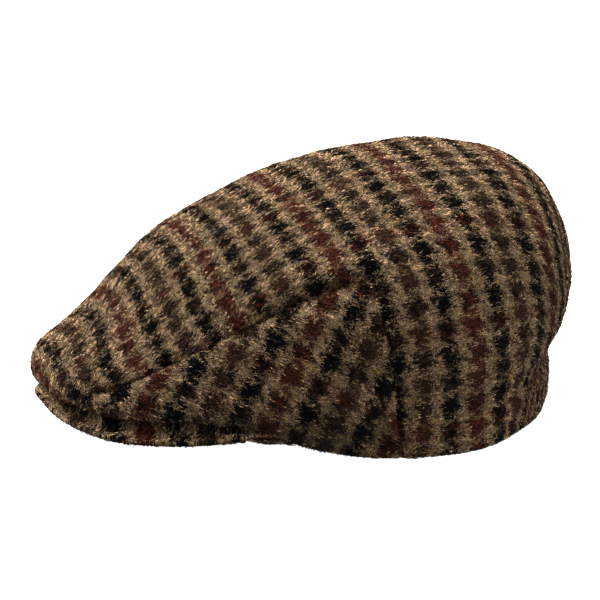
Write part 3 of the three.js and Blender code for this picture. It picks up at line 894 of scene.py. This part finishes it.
peak_rows = np.array(PEAK_EDGE, float)


def peak_rings():
    """Rings of points round the peak's section, from its inner edge over the upper face,
    round the rim and back below, for each turn."""
    turn = np.linspace(-PEAK_TURN, PEAK_TURN, PEAK_COLUMNS + 1)
    taper = np.clip((np.abs(turn) - PEAK_TURN + PEAK_THINS) / PEAK_THINS, 0, 1)
    taper = (taper**2 * (3 - 2 * taper))[:, None]
    # It leaves the fold's underside at the lip, and at the ends a little above the edge.
    far = (LIP + 0.4) * (1 - taper) + (EDGE - 1.2) * taper
    share = np.linspace(0, 1, PEAK_UNDER + 1)[None]
    level = (EDGE - 0.6 * taper) * (1 - share) + far * share
    turns = np.broadcast_to(turn[:, None], level.shape)
    clear = (PEAK_CLEAR * (1 - taper) + TIP_CLEAR * taper)[..., None]
    lifted = crown_base(turns, level) + crown_normal(turns, level) * clear
    a = np.radians(turn)
    reach, height = (smooth(peak_rows[:, 0], peak_rows[:, k], np.abs(turn)) for k in (1, 2))
    rim = np.stack([reach * np.sin(a), -reach * np.cos(a), height], -1)[:, None]
    f = np.linspace(0, 1, PEAK_OUT + 1)[None, 1:, None]
    run_out = lifted[:, -1:] * (1 - f) + rim * f
    run_out[..., 2] -= PEAK_SAG * ((1 - taper[..., None]) * np.sin(math.pi * f))[..., 0]
    upper = np.concatenate([lifted, run_out], 1)
    along, out = np.gradient(upper, axis=0), np.gradient(upper, axis=1)
    normal = unit(np.cross(out, along))
    q = np.clip((np.arange(upper.shape[1]) - PEAK_UNDER) / PEAK_OUT, 0, 1)[None]
    q = q * q * (3 - 2 * q)
    wall = (PEAK_WALL * (1 - q) + PEAK_RIM * q) * (1 - taper) + PEAK_TIP * taper
    lower = upper - normal * wall[..., None]
    centre = (upper[:, -1:] + lower[:, -1:]) / 2
    outside = unit(out[:, -1:])
    turned = np.linspace(0, math.pi, PEAK_NOSE + 2)[None, 1:-1, None]
    round_rim = centre + wall[:, -1:, None] / 2 * (
        np.cos(turned) * normal[:, -1:] + 0.8 * np.sin(turned) * outside
    )
    return np.concatenate([upper, round_rim, lower[:, ::-1], upper[:, :1]], 1)


rings = peak_rings()
ring_cells = rings.shape[1] - 1


def at_peak(s, t):
    return rings[np.rint(s * PEAK_COLUMNS).astype(int), np.rint(t * ring_cells).astype(int)]


def peak_cloth(s, t):
    point, (back, left) = at_peak(s, t), PEAK_FROM
    bands = np.stack([-point[:, 1] + back, point[:, 0] + left], -1) / PEAK_BAND
    return (bands * BAND + BLACK_MIDDLE) * YARN


peak = lay(
    "peak_cover_cloth", np.linspace(0, 1, PEAK_COLUMNS + 1), np.linspace(0, 1, ring_cells + 1),
    at_peak, peak_cloth,
)
sew(fill=True)
bpy.ops.object.shade_smooth()
peak.data.materials.append(woven)
outer_faces[peak.name] = len(peak.data.polygons)
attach(peak, "root")
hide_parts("peak")

# ---- nap ---------------------------------------------------------------------------------
# Brushing raises hairs of the yarns. They lie slantwise over the weave, mostly along the
# yarns that run from front to back, each in the colour of the yarn it grows from.
HAIRS = 48000  # on one piece of nap
# Root, the two sides of the bend, tip, and the four faces between them.
HAIR_FACES = np.array([(0, 2, 1), (3, 1, 2), (0, 1, 3), (0, 3, 2)])
# Least and greatest of each, in mm. The lift is what the bend has over half the tip's rise.
HAIR_LENGTH, HAIR_HALF_WIDTH, HAIR_LIFT = (1.2, 3.2), (0.05, 0.115), (0.05, 0.3)
RISE_SHAPE, RISE_SCALE, RISE_MOST = 1.6, 0.2, 1.4  # how far tips stand up: few far, in mm
HAIR_BEND, HAIR_STRAY = 0.28, 0.28  # mm aside at the bend, and how far off the yarns' way
DYE_STRAY = 0.35  # mm, from a hair's root to the yarn that gives it its dye
ROOT_DEPTH = 0.2  # mm
BACKWARDS = 0.65  # share that lies towards the back


def outer_quads(panel):
    """The corners of a panel's outer faces, in space and on the woven cloth."""
    mesh = panel.data
    spots, corner = read(mesh.vertices, "co", 3), read(mesh.loops, "vertex_index", kind=int)
    start = read(mesh.polygons, "loop_start", kind=int)[: outer_faces[panel.name]]
    total = read(mesh.polygons, "loop_total", kind=int)[: outer_faces[panel.name]]
    loops = start[total == 4][:, None] + np.arange(4)
    return spots[corner[loops]], read(mesh.uv_layers["cloth"].data, "uv", 2)[loops]


def hair_mesh(name, points, coat):
    """One mesh of all the hairs, four points each, with one place on the cloth for each."""
    faces = (HAIR_FACES[None] + 4 * np.arange(HAIRS)[:, None, None]).reshape(-1, 3)
    mesh = bpy.data.meshes.new(name)
    mesh.vertices.add(HAIRS * 4)
    mesh.vertices.foreach_set("co", points.ravel())
    mesh.loops.add(faces.size)
    mesh.loops.foreach_set("vertex_index", faces.ravel())
    mesh.polygons.add(len(faces))
    mesh.polygons.foreach_set("loop_start", np.arange(0, faces.size, 3))
    mesh.update(calc_edges=True)
    layer = mesh.uv_layers.new(name="cloth")
    layer.data.foreach_set("uv", np.repeat(coat, HAIR_FACES.size, axis=0).ravel())
    mesh.polygons.foreach_set("use_smooth", np.ones(len(faces), bool))
    mesh.update()
    mesh.materials.append(hair_wool)
    return mesh


for number, (name, panels, share) in enumerate((
    ("nap_top_front", (top_panel,), (0, 1 / 3)),
    ("nap_top_middle", (top_panel,), (1 / 3, 2 / 3)),
    ("nap_top_rear", (top_panel,), (2 / 3, 1)),
    ("nap_sides_and_peak", (*side_panels, peak), (0, 1)),
)):
    draw = np.random.default_rng(40 + number)
    quad, cloth = (np.concatenate(tables) for tables in zip(*map(outer_quads, panels)))
    crossed = np.cross(quad[:, 2] - quad[:, 0], quad[:, 3] - quad[:, 1])
    area = np.linalg.norm(crossed, axis=1)
    if len(panels) == 1:
        # This piece's share of the panel, counted from its front.
        order = np.argsort(quad[:, :, 1].mean(1))
        done = np.cumsum(area[order]) / area.sum()
        keep = order[(done >= share[0]) & (done < share[1])]
        quad, cloth, crossed, area = quad[keep], cloth[keep], crossed[keep], area[keep]
    picked = draw.choice(len(area), HAIRS, p=area / area.sum())
    e, f = draw.random((2, HAIRS, 1))
    weights = np.stack([(1 - e) * (1 - f), e * (1 - f), e * f, (1 - e) * f], 1)
    root = (quad[picked] * weights).sum(1)
    coat = (cloth[picked] * weights).sum(1) + draw.normal(0, DYE_STRAY * MM, (HAIRS, 2))
    normal = unit(crossed[picked])
    # The yarns that run front to back, found from how each face lies in the cloth.
    side_1, side_2 = quad[:, 1] - quad[:, 0], quad[:, 3] - quad[:, 0]
    coat_1, coat_2 = cloth[:, 1] - cloth[:, 0], cloth[:, 3] - cloth[:, 0]
    turned = np.sign(coat_1[:, 0] * coat_2[:, 1] - coat_1[:, 1] * coat_2[:, 0])
    thread = unit((side_1 * coat_2[:, 1:] - side_2 * coat_1[:, 1:]) * turned[:, None])[picked]
    way = draw.choice([-1, 1], (HAIRS, 1), p=[1 - BACKWARDS, BACKWARDS])
    brushed = thread * way + draw.normal(0, HAIR_STRAY, (HAIRS, 3))
    along = unit(brushed - normal * (brushed * normal).sum(1, keepdims=True))
    aside = np.cross(normal, along)
    length = draw.uniform(*HAIR_LENGTH, (HAIRS, 1)) * MM
    rise = draw.gamma(RISE_SHAPE, RISE_SCALE, (HAIRS, 1)).clip(0, RISE_MOST) * MM
    lift = rise / 2 + draw.uniform(*HAIR_LIFT, (HAIRS, 1)) * MM
    bend = draw.normal(0, HAIR_BEND, (HAIRS, 1)) * MM
    thick = draw.uniform(*HAIR_HALF_WIDTH, (HAIRS, 1)) * MM
    # The bend and the tip follow the cloth's curve, at their own heights over it.
    surface = BVHTree.FromPolygons(
        quad.reshape(-1, 3).tolist(), np.arange(len(quad) * 4).reshape(-1, 4).tolist()
    )
    followed = []
    for reached, high in ((0.5, lift), (1.0, rise)):
        over = root + along * length * reached + aside * bend * (1 - reached)
        near = [surface.find_nearest(Vector(p))[0] for p in over]
        followed.append(np.array(near) + normal * high)
    knee, tip = followed
    sunk = root - normal * ROOT_DEPTH * MM
    points = np.stack([sunk, knee + thick * aside, knee - thick * aside, tip], 1)
    points[..., 2] = np.maximum(points[..., 2], 0.0)
    nap = bpy.data.objects.new(name, hair_mesh(name, points, coat))
    bpy.context.scene.collection.objects.link(nap)
    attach(nap, "root")
